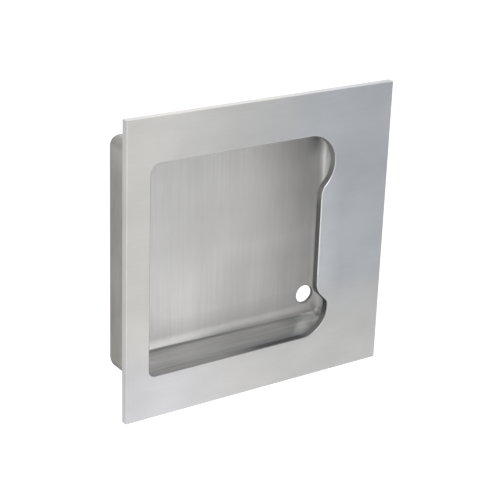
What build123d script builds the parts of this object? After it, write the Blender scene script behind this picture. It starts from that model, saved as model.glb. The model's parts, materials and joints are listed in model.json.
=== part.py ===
"""Recessed pull handle: a flat face plate with a shaped opening, and a drawn pan welded to its back.

Frame: +X to the right seen from the front, +Z up, +Y into the door. The origin is the centre of the plate,
on the plane of its back, which is the face that seats on the door. Lengths are in millimetres, angles in
degrees.
"""

from build123d import *
from math import acos, cos, degrees, radians, sin
import os

# Face plate
plate_width = 127.0
plate_height = 127.0
plate_thickness = 3.2
plate_edge_break = 0.3  # rounding of the front edge all round the plate

# Pan, welded to the back of the plate inside these margins
pan_left_margin = 6.7
pan_right_margin = 11.3
pan_end_margin = 13.25  # above and below
pan_depth = 26.6  # behind the plate
pan_sheet = 1.2
pan_corner_radius = 3.2  # where two walls meet, inside
pan_bend_radius = 4.8  # where the walls bend into the back, inside

# Opening in the plate. Its edge laps over the space inside the pan by these lips
left_lip = 2.8
right_lip = 15.7  # behind the notches: the fingers hook round the tab here
end_lip = 4.05  # above and below
opening_edge_break = 0.45  # rounding of the front edge of the opening
upper_corner_radius = 4.5  # top left
lower_corner_radius = 3.0  # bottom left

# Finger tab and the two notches, on the right of the opening
tab_depth = 6.0  # how far the tab stands out from the bottom of the notches
tab_radius = 6.5  # rounding of both ends of the tab
flank_angle = 45.0  # slope of the sides of the tab, from the vertical
upper_notch_radius = 12.7
lower_notch_radius = 12.0
lower_notch_rise = 0.9  # straight side above the lower notch's big radius
lower_shoulder_radius = 3.6  # where that straight side turns into the tab's lower flank

# Fixing hole in the back of the pan, at the lower right
hole_diameter = 8.5
hole_right_gap = 2.75  # rim of the hole to the wall beside it, so it runs a little into the bend
hole_bottom_gap = 5.15  # rim of the hole to the wall below it

# Sizes and places worked out from those
pan_width = plate_width - pan_left_margin - pan_right_margin
pan_height = plate_height - 2 * pan_end_margin
pan_left = -plate_width / 2 + pan_left_margin
pan_right = pan_left + pan_width
pan_centre_x = (pan_left + pan_right) / 2
opening_left = pan_left + pan_sheet + left_lip
opening_width = pan_right - pan_sheet - right_lip - opening_left
opening_height = pan_height - 2 * (pan_sheet + end_lip)
hole_x = pan_right - pan_sheet - hole_right_gap - hole_diameter / 2
hole_z = -pan_height / 2 + pan_sheet + hole_bottom_gap + hole_diameter / 2


def seat_plane(y):
    """A plane at depth y that is drawn on as seen from the front: local X is +X and local Y is +Z."""
    return Plane(origin=(0, y, 0), x_dir=(1, 0, 0), z_dir=(0, -1, 0))


def flank(notch_radius):
    """The S-shaped side of the tab: an arc of the notch, a straight slope and an arc of the tab.

    Returns the turning angle, the slope's length and the height of the whole S. A tab too shallow for the
    full angle turns less, and then has no straight slope.
    """
    radii = notch_radius + tab_radius
    angle = min(flank_angle, degrees(acos(1 - min(tab_depth / radii, 1))))
    slope = (tab_depth - radii * (1 - cos(radians(angle)))) / sin(radians(angle))
    return angle, slope, radii * sin(radians(angle)) + slope * cos(radians(angle))


def draw(start, direction, moves):
    """The closed face whose edges start along direction, each one tangent to the last.

    A move is ("straight", length) or ("turn", radius, angle), with a positive angle to the left.
    """
    edges = []
    point, heading = Vector(*start), Vector(*direction)
    for kind, *sizes in moves:
        if kind == "turn":
            radius, angle = sizes
            edge = JernArc(point, heading, radius, angle)
        elif sizes[0] < 1e-4:  # nothing to draw between two arcs that already meet
            continue
        else:
            edge = Line(point, point + heading * sizes[0])
        edges.append(edge)
        point, heading = edge @ 1, edge % 1
    return make_face(edges)


def opening_face():
    """The opening's outline, clockwise from the left end of its top edge."""
    upper_angle, upper_slope, upper_flank_height = flank(upper_notch_radius)
    lower_angle, lower_slope, lower_flank_height = flank(lower_shoulder_radius)
    top_length = opening_width - upper_corner_radius - upper_notch_radius
    bottom_length = opening_width - lower_corner_radius - lower_notch_radius
    left_length = opening_height - upper_corner_radius - lower_corner_radius
    upper_notch_height = upper_notch_radius + upper_flank_height
    lower_notch_height = lower_notch_radius + lower_notch_rise + lower_flank_height
    tab_length = opening_height - upper_notch_height - lower_notch_height
    return draw(
        (opening_left + upper_corner_radius, opening_height / 2),
        (1, 0),
        [
            ("straight", top_length),
            ("turn", upper_notch_radius, -90 - upper_angle),
            ("straight", upper_slope),
            ("turn", tab_radius, upper_angle),
            ("straight", tab_length),
            ("turn", tab_radius, lower_angle),
            ("straight", lower_slope),
            ("turn", lower_shoulder_radius, -lower_angle),
            ("straight", lower_notch_rise),
            ("turn", lower_notch_radius, -90),
            ("straight", bottom_length),
            ("turn", lower_corner_radius, -90),
            ("straight", left_length),
            ("turn", upper_corner_radius, -90),
        ],
    )


def pan_block(growth):
    """The space inside the pan as a solid block, or with growth = pan_sheet the pan's outside shape."""
    corner = pan_corner_radius + growth
    bend = pan_bend_radius + growth
    inset = pan_sheet - growth
    outline = Rectangle(pan_width - 2 * inset, pan_height - 2 * inset)
    block = extrude(seat_plane(0) * Pos(pan_centre_x, 0) * outline, -(pan_depth - inset))
    if bend > corner:  # the larger rounding comes first, and the smaller one then runs out into it
        block = fillet(block.faces().sort_by(Axis.Y)[-1].edges(), bend)
        return fillet(block.edges().filter_by(Axis.Y), corner)
    block = fillet(block.edges().filter_by(Axis.Y), corner)
    return fillet(block.faces().sort_by(Axis.Y)[-1].edges(), bend)


def make_face_plate():
    """The plate, with both front edges rounded and its back face divided along the pan's outside."""
    blank = extrude(seat_plane(0) * Rectangle(plate_width, plate_height), plate_thickness)
    plate = blank - extrude(seat_plane(0) * opening_face(), plate_thickness)
    front = plate.faces().sort_by(Axis.Y)[0]
    plate = fillet(front.outer_wire().edges(), plate_edge_break)
    front = plate.faces().sort_by(Axis.Y)[0]
    plate = fillet(front.inner_wires()[0].edges(), opening_edge_break)
    *others, back = plate.faces().sort_by(Axis.Y)
    weld_line = RectangleRounded(pan_width, pan_height, pan_corner_radius + pan_sheet).wire()
    lip, margin = back.split_by_perimeter(seat_plane(0) * Pos(pan_centre_x, 0) * weld_line, Keep.BOTH)
    return Solid(Shell([*others, lip, margin]))


def make_recess_pan():
    """The drawn pan: an open box of even sheet, with the fixing hole through its back."""
    hole_outline = seat_plane(pan_depth) * Pos(hole_x, hole_z) * Circle(hole_diameter / 2)
    hole = extrude(hole_outline, pan_sheet + pan_bend_radius)
    return pan_block(pan_sheet) - pan_block(0) - hole


os.makedirs("parts", exist_ok=True)
export_step(make_face_plate(), "parts/face_plate.step")
export_step(make_recess_pan(), "parts/recess_pan.step")
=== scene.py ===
"""Recessed pull handle: the finishes of its two steel pieces, and the studio and camera round them.

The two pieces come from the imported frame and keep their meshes. The axes are the frame's: +X to the right
seen from the front, +Y into the door and +Z up. The origin is the centre of the plate's back. Lengths and
places are in metres.
"""

import json
import math

import bpy
from bpy.props import FloatProperty, FloatVectorProperty, PointerProperty
from mathutils import Matrix, Vector


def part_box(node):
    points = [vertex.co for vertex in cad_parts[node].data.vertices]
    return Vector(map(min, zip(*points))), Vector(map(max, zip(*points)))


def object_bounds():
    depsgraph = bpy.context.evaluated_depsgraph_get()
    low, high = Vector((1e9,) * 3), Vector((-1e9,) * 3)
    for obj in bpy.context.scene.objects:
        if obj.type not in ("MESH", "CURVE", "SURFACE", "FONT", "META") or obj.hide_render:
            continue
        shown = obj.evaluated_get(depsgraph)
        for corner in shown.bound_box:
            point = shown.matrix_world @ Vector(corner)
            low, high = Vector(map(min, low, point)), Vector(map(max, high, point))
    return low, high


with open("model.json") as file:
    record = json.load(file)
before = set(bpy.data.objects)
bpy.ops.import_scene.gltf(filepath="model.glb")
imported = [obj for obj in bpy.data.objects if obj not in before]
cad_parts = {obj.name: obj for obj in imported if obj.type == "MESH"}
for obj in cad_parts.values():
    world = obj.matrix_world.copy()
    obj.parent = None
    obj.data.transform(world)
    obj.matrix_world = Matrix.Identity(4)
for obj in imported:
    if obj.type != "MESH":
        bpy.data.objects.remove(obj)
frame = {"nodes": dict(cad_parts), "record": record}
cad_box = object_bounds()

bl_info = {
    "name": "Recessed Pull Handle",
    "version": (1, 0, 0),
    "blender": (4, 5, 0),
    "location": "View3D > Sidebar > Pull Handle",
    "description": "Finishes a recessed pull handle and sets up its studio and camera",
    "category": "Object",
}

PLATE = frame["nodes"]["face_plate"]
PAN = frame["nodes"]["recess_pan"]
PLATE_LOW, PLATE_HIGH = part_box("face_plate")
PAN_LOW, PAN_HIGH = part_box("recess_pan")
FIXING_HOLE = next(mount for mount in frame["record"]["mounts"] if mount["name"] == "fixing_hole")

PATTERN_RANGE = (0.3, 0.7)  # where most of a noise lies
GRAIN_BUMP = {"Strength": 0.12, "Distance": 0.00004}

# Which way each brushed finish spreads the shine: across its grain. The part along Y keeps the direction
# from standing square on a wall, where it would have no effect.
PLATE_SHINE = (0.0, 0.3, 1.0)
PAN_SHINE = (1.0, 0.3, 0.0)

# The lamps: place, the point each one is turned to, and width
KEY_LAMP = ((-0.65, -0.8, 1.15), (0, 0, 0), 1.2)
BACK_LAMP = ((0.4, 1.0, 0.8), (0, 0.3, -0.2), 1.0)


# ---------------------------------------------------------------- settings


class PlateFinish(bpy.types.PropertyGroup):
    """The face plate's brushed finish."""

    colour: FloatVectorProperty(
        name="Steel", description="Colour of the brushed steel", subtype="COLOR", size=3, min=0, max=1,
        default=(0.575, 0.567, 0.546),
    )
    # Painted reflection: the cool and lilac tints stand for the colour of the light that the steel mirrors
    # there.
    cool_reflection_colour: FloatVectorProperty(
        name="Cool Steel", description="Colour of the steel towards the right", subtype="COLOR", size=3,
        min=0, max=1, default=(0.553, 0.567, 0.578),
    )
    lilac_reflection_colour: FloatVectorProperty(
        name="Lilac Steel", description="Colour of the steel at the lower left", subtype="COLOR", size=3,
        min=0, max=1, default=(0.585, 0.575, 0.592),
    )
    # The cut wall's dark colour is partly its own and partly painted shade.
    cut_colour: FloatVectorProperty(
        name="Cut Wall", description="Colour of the cut wall round the opening", subtype="COLOR", size=3,
        min=0, max=1, default=(0.2, 0.2, 0.2),
    )
    grain_width: FloatProperty(
        name="Grain Width", description="Width of one brush line", unit="LENGTH", default=0.00018,
        min=0.00005,
    )
    grain_length: FloatProperty(
        name="Grain Length", description="Length of one brush line", unit="LENGTH", default=0.01,
        min=0.001,
    )


class PanFinish(bpy.types.PropertyGroup):
    """The pan's finish: brushed inside, dull outside."""

    colour: FloatVectorProperty(
        name="Inside", description="Colour of the brushed inside", subtype="COLOR", size=3, min=0, max=1,
        default=(0.645, 0.64, 0.632),
    )
    # Painted light and shade: the walls inside are the same steel as the back, the level ones darkened for
    # the shade in the recess and the upright ones lightened for the light they catch.
    shaded_level_colour: FloatVectorProperty(
        name="Level Walls", description="Colour of the top and bottom walls inside", subtype="COLOR",
        size=3, min=0, max=1, default=(0.34, 0.34, 0.34),
    )
    lit_upright_colour: FloatVectorProperty(
        name="Upright Walls", description="Colour of the left and right walls inside", subtype="COLOR",
        size=3, min=0, max=1, default=(0.94, 0.94, 0.94),
    )
    front_band_colour: FloatVectorProperty(
        name="Front Band", description="Colour of the dark band along the front of the bottom wall",
        subtype="COLOR", size=3, min=0, max=1, default=(0.085, 0.105, 0.135),
    )
    dull_colour: FloatVectorProperty(
        name="Outside", description="Colour of the dull outside", subtype="COLOR", size=3, min=0, max=1,
        default=(0.268, 0.258, 0.244),
    )
    # Painted shade on the pan's outer corners, the lower ones most.
    shaded_corner_colour: FloatVectorProperty(
        name="Corners", description="Colour of the scored corners outside", subtype="COLOR", size=3,
        min=0, max=1, default=(0.145, 0.145, 0.142),
    )
    # The fixing hole's wall and rim: partly the cut wall's own dark colour, partly painted shade.
    hole_colour: FloatVectorProperty(
        name="Hole", description="Colour of the fixing hole's wall", subtype="COLOR", size=3, min=0, max=1,
        default=(0.12, 0.12, 0.12),
    )
    grain_width: FloatProperty(
        name="Grain Width", description="Width of one brush line", unit="LENGTH", default=0.0004,
        min=0.00005,
    )
    grain_length: FloatProperty(
        name="Grain Length", description="Length of one brush line", unit="LENGTH", default=0.025,
        min=0.001,
    )


class Studio(bpy.types.PropertyGroup):
    """The floor, the lamps, the card and the camera."""

    floor_drop: FloatProperty(
        name="Floor Drop", description="Height of the handle over the floor", unit="LENGTH", default=0.2,
        min=0,
    )
    floor_colour: FloatVectorProperty(
        name="Floor", description="Colour of the floor", subtype="COLOR", size=3, min=0, max=1,
        default=(0.8, 0.8, 0.8),
    )
    key_power: FloatProperty(
        name="Key Lamp", description="Power of the large lamp in front", unit="POWER", default=22.0, min=0,
    )
    back_power: FloatProperty(
        name="Back Lamp", description="Power of the weak lamp behind", unit="POWER", default=3.0, min=0,
    )
    card_colour: FloatVectorProperty(
        name="Card", description="Colour of the card that the steel mirrors", subtype="COLOR", size=3,
        min=0, max=1, default=(0.55, 0.575, 0.62),
    )
    camera_place: FloatVectorProperty(
        name="Camera", description="Where the camera stands", subtype="TRANSLATION", size=3,
        default=(-0.31868, -0.45587, 0.21858),
    )
    camera_turn: FloatProperty(
        name="Turn", description="Camera's direction round the vertical, from straight ahead",
        subtype="ANGLE", default=math.radians(-34.637),
    )
    camera_tilt: FloatProperty(
        name="Tilt", description="How far the camera looks down", subtype="ANGLE",
        default=math.radians(21.564),
    )
    camera_roll: FloatProperty(
        name="Roll", description="Camera's turn about its own axis", subtype="ANGLE",
        default=math.radians(2.086),
    )
    camera_lens: FloatProperty(
        name="Lens", description="Focal length of the camera", unit="CAMERA", default=104.67, min=1,
    )


# ---------------------------------------------------------------- nodes


def add(tree, kind, inputs=None, **settings):
    """A new node. inputs maps a socket's name or number to a value or to the socket that feeds it."""
    made = tree.nodes.new(kind)
    for name, value in settings.items():
        setattr(made, name, value)
    for name, value in (inputs or {}).items():
        if isinstance(value, bpy.types.NodeSocket):
            tree.links.new(value, made.inputs[name])
        else:
            made.inputs[name].default_value = value
    return made


def maths(tree, operation, *values):
    """The result of one sum."""
    return add(tree, "ShaderNodeMath", dict(enumerate(values)), operation=operation).outputs[0]


def product(tree, first, *others):
    """All the given amounts multiplied."""
    for other in others:
        first = maths(tree, "MULTIPLY", first, other)
    return first


def opposite(tree, amount):
    """1 where amount is 0, and 0 where it is 1."""
    return maths(tree, "SUBTRACT", 1.0, amount)


def spread(tree, value, from_low, from_high, to_low, to_high, smooth=False):
    """value, carried over from one range to another and held at the ends of the new one."""
    inputs = {
        "Value": value,
        "From Min": from_low,
        "From Max": from_high,
        "To Min": to_low,
        "To Max": to_high,
    }
    kind = "SMOOTHSTEP" if smooth else "LINEAR"
    return add(tree, "ShaderNodeMapRange", inputs, interpolation_type=kind).outputs["Result"]


def zone(tree, value, start, full, smooth=False):
    """0 as far as value is start, 1 from where it is full, and an even or smooth rise between the two."""
    return spread(tree, value, start, full, 0.0, 1.0, smooth)


def swing(tree, pattern, low, high):
    """A random pattern, carried over to the range from low to high."""
    return spread(tree, pattern, *PATTERN_RANGE, low, high)


def noise(tree, place, sizes, detail):
    """A soft random pattern with the given size along X, Y and Z."""
    scaled = add(tree, "ShaderNodeMapping", {"Vector": place, "Scale": [1 / size for size in sizes]})
    inputs = {"Vector": scaled.outputs[0], "Scale": 1.0, "Detail": detail}
    return add(tree, "ShaderNodeTexNoise", inputs).outputs["Fac"]


def between(tree, amount, first, second):
    """The number first where amount is 0 and second where it is 1."""
    return add(tree, "ShaderNodeMix", {"Factor": amount, 2: first, 3: second}, data_type="FLOAT").outputs[0]


def blend(tree, amount, first, second):
    """The colour first where amount is 0 and second where it is 1."""
    inputs = {"Factor": amount}
    for socket, colour in ((6, first), (7, second)):
        inputs[socket] = colour if isinstance(colour, bpy.types.NodeSocket) else (*colour, 1.0)
    return add(tree, "ShaderNodeMix", inputs, data_type="RGBA").outputs[2]


def tinted(tree, colour, *tones):
    """colour made lighter or darker by each of the tones. A tone of 1 leaves it as it is."""
    tone = product(tree, *tones)
    return add(tree, "ShaderNodeVectorMath", {0: colour, "Scale": tone}, operation="SCALE").outputs[0]


def direction(tree, vector):
    """A direction that is the same all over, as a socket."""
    return add(tree, "ShaderNodeCombineXYZ", dict(enumerate(vector))).outputs[0]


def parts_of(tree, vector):
    """The X, Y and Z of a vector, as three sockets."""
    split = add(tree, "ShaderNodeSeparateXYZ", {0: vector})
    return split.outputs["X"], split.outputs["Y"], split.outputs["Z"]


def empty_material(name):
    """A material with no nodes in it yet."""
    material = bpy.data.materials.new(name)
    material.use_nodes = True
    material.node_tree.nodes.clear()
    return material, material.node_tree


def new_metal(name):
    """A metal with its output and its shader."""
    material, tree = empty_material(name)
    shader = add(tree, "ShaderNodeBsdfPrincipled", {"Metallic": 1.0})
    add(tree, "ShaderNodeOutputMaterial", {"Surface": shader.outputs[0]})
    return material, tree, shader


def connect(tree, shader, **sockets):
    """Feeds the shader's sockets. Underscores in the names stand for spaces."""
    for name, socket in sockets.items():
        tree.links.new(socket, shader.inputs[name.replace("_", " ")])


def give(piece, material):
    """Puts the material in every slot of the piece."""
    for slot in piece.material_slots:
        slot.material = material


class Spot:
    """A spot on a piece, as its material reads it: where it is and which way it faces."""

    def __init__(self, tree):
        coordinates = add(tree, "ShaderNodeTexCoord")
        self.place = coordinates.outputs["Object"]
        self.normal = coordinates.outputs["Normal"]
        self.x, self.depth, self.z = parts_of(tree, self.place)
        self.sideways, across, self.up = parts_of(tree, self.normal)
        self.flatness = maths(tree, "ABSOLUTE", across)  # 1 where it lies along the door, 0 square to it


# Many tones of the two pieces stand for the way light falls on the handle, and not for the steel's own
# colour. They follow where a spot is and which way it faces, and stay the same from every side.


# ---------------------------------------------------------------- face plate


def plate_steel(tree, spot, finish):
    """The plate's steel, with painted reflection tints: cooler towards the right and faintly lilac at the
    lower left.
    """
    right = product(tree, zone(tree, spot.x, -0.01, 0.04), zone(tree, spot.z, -0.038, -0.015))
    low_left = product(tree, zone(tree, spot.x, -0.005, -0.045), zone(tree, spot.z, -0.025, -0.05))
    steel = blend(tree, right, finish.colour, finish.cool_reflection_colour)
    return blend(tree, low_left, steel, finish.lilac_reflection_colour)


def from_level_middle(tree, spot):
    """How far up or down from the middle of the plate the spot is."""
    return maths(tree, "ABSOLUTE", spot.z)


def plate_tone(tree, spot):
    """How light the plate is, in painted light and shade: lighter below, at the top and beside the tab,
    darker at the left edge.
    """
    below = product(tree, zone(tree, spot.z, -0.02, -0.05), spread(tree, spot.x, -0.05, -0.01, 0.2, 1.0))
    tone = product(
        tree,
        between(tree, below, 1.0, 1.07),
        spread(tree, spot.x, PLATE_LOW.x, -0.045, 0.94, 1.0),  # at the left edge
        spread(tree, spot.z, 0.035, 0.05, 1.0, 1.04),  # at the top
    )
    beside_tab = product(
        tree,
        spread(tree, spot.x, 0.033, 0.041, 0.1, 0.0),
        zone(tree, spot.x, 0.027, 0.028),
        zone(tree, from_level_middle(tree, spot), 0.032, 0.022),
    )
    return maths(tree, "ADD", tone, beside_tab)


def rim_tone(tree, spot, lower, within_plate):
    """How light the rounded edge of the opening is beside the flat of the plate: painted shade along it,
    darkest along the top towards the right.
    """
    rounded = zone(tree, spot.flatness, 0.97, 0.9)
    off_tab = maths(tree, "GREATER_THAN", from_level_middle(tree, spot), 0.017)
    faces_down = zone(tree, spot.up, -0.05, -0.2)
    side_loss = between(tree, lower, spread(tree, spot.x, -0.045, -0.03, 0.05, 0.25), 0.5)
    top_loss = spread(tree, spot.x, -0.03, 0.015, 0.0, 0.65)
    loss = between(tree, faces_down, side_loss, top_loss)
    return opposite(tree, product(tree, rounded, off_tab, within_plate, loss))


def cut_wall(tree, spot, finish, lower):
    """The cut wall round the opening, with painted light above the tab and at the lower left."""
    upper_tone = spread(tree, spot.z, 0.013, 0.021, 1.0, 2.0)
    in_notch = zone(tree, spot.x, 0.022, 0.028)
    in_notch = product(tree, in_notch, spread(tree, spot.z, -0.038, -0.034, 0.45, 0.03))
    lower_tone = maths(tree, "ADD", in_notch, spread(tree, spot.x, -0.022, 0.0, 2.8, 0.6))
    return tinted(tree, finish.cut_colour, between(tree, lower, upper_tone, lower_tone))


def plate_material(finish):
    """Steel brushed along X, with a duller cut wall round the opening, partly in painted shade."""
    material, tree, shader = new_metal("brushed_plate")
    spot = Spot(tree)

    brush_line = (finish.grain_length, finish.grain_length, finish.grain_width)
    fine = noise(tree, spot.place, brush_line, 1.0)
    broad = noise(tree, spot.place, (0.03, 0.03, 0.0009), 2.0)
    cloud = noise(tree, spot.place, (0.03, 0.03, 0.018), 3.0)
    grain = between(tree, 0.4, fine, broad)

    outer_edge_width = 0.003
    reach = maths(tree, "MAXIMUM", maths(tree, "ABSOLUTE", spot.x), from_level_middle(tree, spot))
    within_plate = maths(tree, "LESS_THAN", reach, PLATE_HIGH.x - outer_edge_width)
    edge_on = zone(tree, spot.flatness, 0.4, 0.1, smooth=True)
    cut = product(tree, edge_on, within_plate)
    outer_edge = product(tree, edge_on, opposite(tree, within_plate))
    lower = zone(tree, spot.z, -0.02, -0.028)

    steel = tinted(
        tree,
        plate_steel(tree, spot, finish),
        rim_tone(tree, spot, lower, within_plate),
        # Painted shade on the plate's outer edges.
        between(tree, outer_edge, 1.0, 0.82),
        plate_tone(tree, spot),
        swing(tree, grain, 0.97, 1.03),
        swing(tree, cloud, 0.95, 1.05),
    )
    # Painted shade: cut walls that face sideways or down, and all those right of the middle, take the dark
    # cut colour.
    turned_from_above = spread(tree, spot.up, 0.0, 1.0, 1.0, 0.2)
    dull = maths(tree, "MAXIMUM", turned_from_above, zone(tree, spot.x, -0.03, 0.01))
    colour = blend(tree, product(tree, cut, dull), steel, cut_wall(tree, spot, finish, lower))

    connect(
        tree, shader,
        Base_Color=colour,
        Roughness=maths(tree, "ADD", swing(tree, grain, 0.38, 0.44), product(tree, cut, 0.1)),
        Normal=add(tree, "ShaderNodeBump", {**GRAIN_BUMP, "Height": grain}).outputs[0],
        Tangent=direction(tree, PLATE_SHINE),
    )
    shader.inputs["Anisotropic"].default_value = 0.5
    return material


# ---------------------------------------------------------------- recess pan

# Patches of painted light and shade on the pan's back: how much lighter each is, and where it starts and is
# full along X and along Z
BACK_PATCHES = (
    (0.24, (0.0, -0.045), (0.0, -0.042)),  # the lower left
    (0.18, (0.03, 0.048), (0.01, -0.01)),  # the right end, from the middle down
    (-0.1, (0.01, 0.03), (0.02, 0.04)),  # the upper right
    (0.2, (0.04, 0.047), (0.015, 0.03)),  # the very end of the upper right
    (-0.09, (-0.01, 0.008), (-0.01, -0.02)),  # the lower right
)


def turned_away(tree, spot):
    """1 on the pan's outside, which faces away from its middle, and 0 on its inside."""
    middle = (PAN_LOW + PAN_HIGH) / 2
    inputs = {0: spot.place, 1: (middle.x, 0, middle.z)}
    from_middle = add(tree, "ShaderNodeVectorMath", inputs, operation="SUBTRACT").outputs[0]
    inputs = {0: spot.normal, 1: from_middle}
    outward = add(tree, "ShaderNodeVectorMath", inputs, operation="DOT_PRODUCT").outputs["Value"]
    return maths(tree, "GREATER_THAN", outward, 0.0)


def within_hole(tree, spot):
    """1 on the wall of the fixing hole and on its very rim, and 0 elsewhere."""
    inputs = {0: spot.place, 1: (1, 0, 1)}
    flat = add(tree, "ShaderNodeVectorMath", inputs, operation="MULTIPLY").outputs[0]
    axis_x, _, axis_z = FIXING_HOLE["pos_m"]
    inputs = {0: flat, 1: (axis_x, 0, axis_z)}
    aside = add(tree, "ShaderNodeVectorMath", inputs, operation="DISTANCE").outputs["Value"]
    radius = FIXING_HOLE["dims"]["r_mm"] / 1000
    rim = 0.0002
    return maths(tree, "LESS_THAN", aside, radius + rim)


def walls_of(tree, spot, upright):
    """1 on the pan's walls and 0 on its back. Level walls begin crisply and upright ones softly."""
    turning_point = spread(tree, spot.x, -0.03, 0.02, 0.68, 0.55)
    short_of_it = maths(tree, "SUBTRACT", spot.flatness, turning_point)
    level_walls = zone(tree, short_of_it, 0.04, -0.03, smooth=True)
    upright_walls = zone(tree, spot.flatness, 0.82, 0.35, smooth=True)
    return between(tree, upright, level_walls, upright_walls)


def back_tone(tree, spot):
    """How light the flat of the pan's back is, part by part, in painted light and shade."""
    tone = 1.0
    for value, start, full, gain in (
        (spot.x, -0.012, -0.045, 0.16),  # towards the left
        (spot.z, -0.005, -0.036, 0.22),  # towards the bottom
        (spot.z, 0.01, 0.045, 0.2),  # towards the top
    ):
        tone = maths(tree, "ADD", spread(tree, value, start, full, 0.0, gain), tone)
    for gain, across_x, up_z in BACK_PATCHES:
        patch = product(tree, spread(tree, spot.x, *across_x, 0.0, gain), zone(tree, spot.z, *up_z))
        tone = maths(tree, "ADD", patch, tone)
    tone = product(tree, tone, spread(tree, spot.z, -0.0445, -0.036, 0.9, 1.0))
    lightest = 1.42
    return maths(tree, "MINIMUM", tone, lightest)


def bend_tone(tree, spot, high_upright):
    """How light the bend is that leads from the back to the walls: painted shade that gets darker towards
    the wall.
    """
    low_right = zone(tree, spot.z, -0.032, -0.04)
    low_right = product(tree, low_right, spread(tree, spot.x, 0.0445, 0.049, 0.0, 0.95))
    darkest = spread(tree, spot.x, -0.045, 0.0, 0.95, 0.52)
    for least in (product(tree, high_upright, 0.5), low_right):
        darkest = maths(tree, "MAXIMUM", darkest, least)
    return spread(tree, spot.flatness, 0.72, 0.985, darkest, 1.0)


def level_walls_colour(tree, spot, finish):
    """The top and bottom walls inside, in painted shade: lighter deep in and at both ends, darker near the
    bend and behind the tab.
    """
    towards_bend = spread(tree, spot.flatness, 0.15, 0.62, 1.0, 0.62)
    return tinted(
        tree,
        finish.shaded_level_colour,
        between(tree, zone(tree, spot.x, 0.03, 0.043), towards_bend, 1.0),
        spread(tree, spot.depth, 0.012, 0.0155, 1.0, 1.22),  # deep in
        spread(tree, spot.x, -0.046, -0.036, 1.25, 1.0),  # at the left end
        spread(tree, spot.x, 0.026, 0.034, 1.0, 0.78),  # behind the tab
        spread(tree, spot.x, 0.04, 0.047, 1.0, 1.7),  # at the right end
    )


def where_walls_meet(tree, spot):
    """0 on the flat of a wall, and more than 0 where the face points sideways and up or down at once."""
    return maths(tree, "ABSOLUTE", product(tree, spot.sideways, spot.up))


def corner_tone(tree, spot):
    """How light the pan is in its inner corners and round the two at the right, the upper one above all:
    painted shade.
    """
    low_right = zone(tree, spot.x, 0.046, 0.049)
    low_right = product(tree, low_right, spread(tree, spot.z, -0.0432, -0.0455, 0.0, 0.14))
    high_right = zone(tree, spot.x, 0.041, 0.047)
    high_right = product(tree, high_right, spread(tree, spot.z, 0.025, 0.0335, 0.0, 0.5))
    every_corner = spread(tree, where_walls_meet(tree, spot), 0.02, 0.25, 1.0, 0.5)
    return product(tree, every_corner, opposite(tree, low_right), opposite(tree, high_right))


def front_band(tree, spot):
    """1 in the dark band along the front of the bottom wall, towards the right, and 0 elsewhere."""
    near_plate = zone(tree, spot.depth, 0.012, 0.002)
    faces_up = zone(tree, spot.up, 0.3, 0.9)
    return product(tree, near_plate, zone(tree, spot.x, -0.02, 0.01), faces_up)


def pan_outside(tree, spot, finish):
    """The dull, cloudy steel of the pan's outside, with painted shade on its scored corners, the lower ones
    most, and towards the back, and painted light at the top.
    """
    corners = zone(tree, where_walls_meet(tree, spot), 0.05, 0.3)
    corners = product(tree, corners, spread(tree, spot.z, -0.02, 0.02, 1.0, 0.2))
    cloudy = swing(tree, noise(tree, spot.place, (0.006, 0.006, 0.014), 3.0), 0.91, 1.09)
    scored = swing(tree, noise(tree, spot.place, (0.0009, 0.004, 0.0009), 2.0), -0.35, 0.35)
    return tinted(
        tree,
        blend(tree, corners, finish.dull_colour, finish.shaded_corner_colour),
        spread(tree, spot.depth, 0.012, 0.026, 1.12, 0.82),  # towards the back
        spread(tree, spot.z, 0.036, 0.049, 1.0, 1.3),  # at the top
        maths(tree, "ADD", cloudy, product(tree, scored, corners)),
    )


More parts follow.
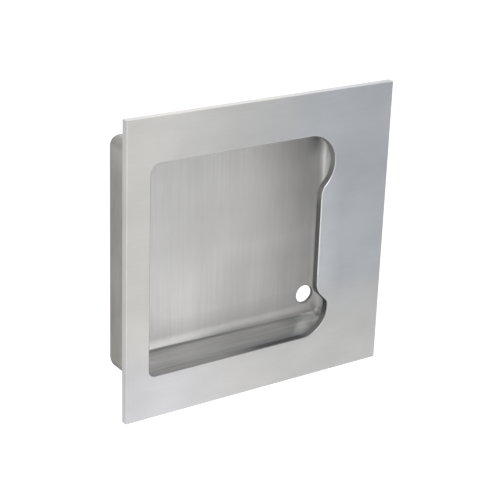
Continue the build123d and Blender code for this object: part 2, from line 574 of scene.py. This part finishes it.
def pan_material(finish):
    """Steel brushed along Z on the pan's back, with drawn walls in painted light and shade and a dull
    outside.
    """
    material, tree, shader = new_metal("drawn_pan")
    spot = Spot(tree)

    brush_line = (finish.grain_width, finish.grain_width, finish.grain_length)
    fine = noise(tree, spot.place, brush_line, 1.0)
    broad = noise(tree, spot.place, (0.0015, 0.0015, 0.04), 2.0)
    cloud = noise(tree, spot.place, (0.015, 0.015, 0.03), 3.0)
    drawn = noise(tree, spot.place, (0.06, 0.0025, 0.0025), 2.0)
    grain = between(tree, 0.5, fine, broad)

    outside = turned_away(tree, spot)
    upright = zone(tree, maths(tree, "ABSOLUTE", spot.sideways), 0.0, 0.75, smooth=True)
    high_upright = product(tree, upright, zone(tree, spot.z, -0.01, 0.02))
    # Painted light: the upright walls take their full light colour only from the middle up.
    bright_upright = product(tree, upright, spread(tree, spot.z, -0.01, 0.02, 0.4, 1.0))
    wall = walls_of(tree, spot, upright)

    back = tinted(
        tree,
        finish.colour,
        swing(tree, grain, 0.955, 1.045),
        swing(tree, cloud, 0.97, 1.03),
        back_tone(tree, spot),
        bend_tone(tree, spot, high_upright),
    )
    streaks = between(tree, upright, swing(tree, drawn, 0.82, 1.18), swing(tree, broad, 0.96, 1.06))
    level_walls = level_walls_colour(tree, spot, finish)
    walls = tinted(tree, blend(tree, bright_upright, level_walls, finish.lit_upright_colour), streaks)
    inside = tinted(tree, blend(tree, wall, back, walls), corner_tone(tree, spot))
    inside = blend(tree, front_band(tree, spot), inside, finish.front_band_colour)
    colour = blend(tree, outside, inside, pan_outside(tree, spot, finish))
    # Painted shade, with the cut wall's own darkness, in the fixing hole and on its rim.
    colour = blend(tree, within_hole(tree, spot), colour, finish.hole_colour)

    shiny = product(tree, maths(tree, "MAXIMUM", wall, high_upright), opposite(tree, outside))
    roughness = maths(tree, "SUBTRACT", swing(tree, grain, 0.74, 0.8), product(tree, shiny, 0.37))
    roughness = maths(tree, "SUBTRACT", roughness, product(tree, outside, 0.22))
    connect(
        tree, shader,
        Base_Color=colour,
        Roughness=roughness,
        Normal=add(tree, "ShaderNodeBump", {**GRAIN_BUMP, "Height": grain}).outputs[0],
        Tangent=direction(tree, PAN_SHINE),
    )
    shader.inputs["Anisotropic"].default_value = 0.3
    return material


# ---------------------------------------------------------------- studio


def looked_at(tree):
    """1 for what is seen, straight or in steel or through glass, and 0 for the light on dull things."""
    path = add(tree, "ShaderNodeLightPath")
    seen = maths(tree, "MAXIMUM", path.outputs["Is Camera Ray"], path.outputs["Is Glossy Ray"])
    return maths(tree, "MAXIMUM", seen, path.outputs["Is Transmission Ray"])


def light_world():
    """White wherever it is looked at, and a softer light on what does not shine."""
    world = bpy.data.worlds.new("studio_world")
    bpy.context.scene.world = world
    world.use_nodes = True
    tree = world.node_tree
    tree.nodes.clear()
    strength = between(tree, looked_at(tree), 0.4, 1.0)
    background = add(tree, "ShaderNodeBackground", {"Color": (1, 1, 1, 1), "Strength": strength})
    add(tree, "ShaderNodeOutputWorld", {"Surface": background.outputs[0]})


def floor_height(studio):
    """How high the floor lies, under the lowest point of the handle."""
    return cad_box[0].z - studio.floor_drop


def lay_floor(studio):
    """A wide pale floor under the handle, which keeps its shadow."""
    bpy.ops.object.select_all(action="DESELECT")
    bpy.ops.mesh.primitive_plane_add(size=12.0, location=(0, 0, floor_height(studio)))
    floor = bpy.context.object
    floor.name = "floor"
    material, tree = empty_material("pale_floor")
    matte = add(tree, "ShaderNodeBsdfDiffuse", {"Color": (*studio.floor_colour, 1.0)})
    place = add(tree, "ShaderNodeTexCoord").outputs["Object"]
    distance = add(tree, "ShaderNodeVectorMath", {0: place}, operation="LENGTH").outputs["Value"]
    strength = product(tree, looked_at(tree), spread(tree, distance, 0.6, 1.6, 0.45, 0.65))
    glow = add(tree, "ShaderNodeEmission", {"Strength": strength})
    both = add(tree, "ShaderNodeAddShader", {0: matte.outputs[0], 1: glow.outputs[0]})
    add(tree, "ShaderNodeOutputMaterial", {"Surface": both.outputs[0]})
    floor.data.materials.append(material)


def stand_card(studio):
    """A dim cool card on the floor, to the right of the handle, which only the steel mirrors."""
    width, height = 0.8, 0.5
    left, distance_in_front = 0.16, 0.3
    middle = (left + width / 2, -distance_in_front, floor_height(studio) + height / 2)
    bpy.ops.object.select_all(action="DESELECT")
    bpy.ops.mesh.primitive_plane_add(size=1.0, location=middle, rotation=(math.pi / 2, 0, 0))
    card = bpy.context.object
    card.name = "grey_card"
    card.scale = (width, height, 1)
    material, tree = empty_material("cool_grey")
    glow = add(tree, "ShaderNodeEmission", {"Color": (*studio.card_colour, 1.0), "Strength": 1.0})
    add(tree, "ShaderNodeOutputMaterial", {"Surface": glow.outputs[0]})
    card.data.materials.append(material)
    card.visible_camera = False
    card.visible_diffuse = False
    card.visible_shadow = False


def hang_lamp(name, place, aim, width, power):
    """A square soft lamp at place, turned to aim."""
    lamp = bpy.data.lights.new(name, "AREA")
    lamp.size = width
    lamp.energy = power
    holder = bpy.data.objects.new(name, lamp)
    bpy.context.scene.collection.objects.link(holder)
    holder.location = place
    holder.rotation_euler = (Vector(aim) - Vector(place)).to_track_quat("-Z", "Y").to_euler()
    holder.visible_camera = False


def set_camera(studio):
    """The camera at its place, turned, tilted and rolled."""
    camera = bpy.data.cameras.new("camera")
    camera.lens = studio.camera_lens
    camera.sensor_width = 36.0
    holder = bpy.data.objects.new("camera", camera)
    bpy.context.scene.collection.objects.link(holder)
    turn, tilt = studio.camera_turn, studio.camera_tilt
    back = Vector((math.sin(turn) * math.cos(tilt), -math.cos(turn) * math.cos(tilt), math.sin(tilt)))
    level = (-back).to_track_quat("-Z", "Y").to_matrix()
    turned = level @ Matrix.Rotation(studio.camera_roll, 3, "Z")
    holder.matrix_world = Matrix.Translation(studio.camera_place) @ turned.to_4x4()
    bpy.context.scene.camera = holder


# ---------------------------------------------------------------- operators


class PULLHANDLE_OT_finish_face_plate(bpy.types.Operator):
    """Gives the face plate its brushed steel"""

    bl_idname = "pull_handle.finish_face_plate"
    bl_label = "Finish Face Plate"

    def execute(self, context):
        give(PLATE, plate_material(context.scene.plate_finish))
        return {"FINISHED"}


class PULLHANDLE_OT_finish_recess_pan(bpy.types.Operator):
    """Gives the recess pan its brushed inside and dull outside"""

    bl_idname = "pull_handle.finish_recess_pan"
    bl_label = "Finish Recess Pan"

    def execute(self, context):
        give(PAN, pan_material(context.scene.pan_finish))
        return {"FINISHED"}


class PULLHANDLE_OT_set_up_studio(bpy.types.Operator):
    """Lays the floor, stands the card, hangs the lamps and sets the camera"""

    bl_idname = "pull_handle.set_up_studio"
    bl_label = "Set Up Studio"

    def execute(self, context):
        studio = context.scene.studio
        context.scene.view_settings.view_transform = "Standard"
        light_world()
        lay_floor(studio)
        stand_card(studio)
        hang_lamp("key_lamp", *KEY_LAMP, studio.key_power)
        hang_lamp("back_lamp", *BACK_LAMP, studio.back_power)
        set_camera(studio)
        return {"FINISHED"}


class PULLHANDLE_PT_panel(bpy.types.Panel):
    """Lists the settings and the steps."""

    bl_label = "Pull Handle"
    bl_space_type = "VIEW_3D"
    bl_region_type = "UI"
    bl_category = "Pull Handle"

    def draw(self, context):
        scene = context.scene
        for settings in (scene.plate_finish, scene.pan_finish, scene.studio):
            box = self.layout.box()
            for name in settings.__annotations__:
                box.prop(settings, name)
        for step in STEPS:
            self.layout.operator(step.bl_idname)


SETTINGS = {"plate_finish": PlateFinish, "pan_finish": PanFinish, "studio": Studio}
STEPS = (
    PULLHANDLE_OT_finish_face_plate,
    PULLHANDLE_OT_finish_recess_pan,
    PULLHANDLE_OT_set_up_studio,
)


def register():
    """Adds the settings, the steps and the panel."""
    for made in (*SETTINGS.values(), *STEPS, PULLHANDLE_PT_panel):
        bpy.utils.register_class(made)
    for name, group in SETTINGS.items():
        setattr(bpy.types.Scene, name, PointerProperty(type=group))


def unregister():
    """Takes them away again."""
    for name in SETTINGS:
        delattr(bpy.types.Scene, name)
    for made in (PULLHANDLE_PT_panel, *reversed(STEPS), *reversed(SETTINGS.values())):
        bpy.utils.unregister_class(made)


def main():
    """Runs each step in order."""
    register()
    bpy.ops.pull_handle.finish_face_plate()
    bpy.ops.pull_handle.finish_recess_pan()
    bpy.ops.pull_handle.set_up_studio()


if __name__ == "__main__":
    main()
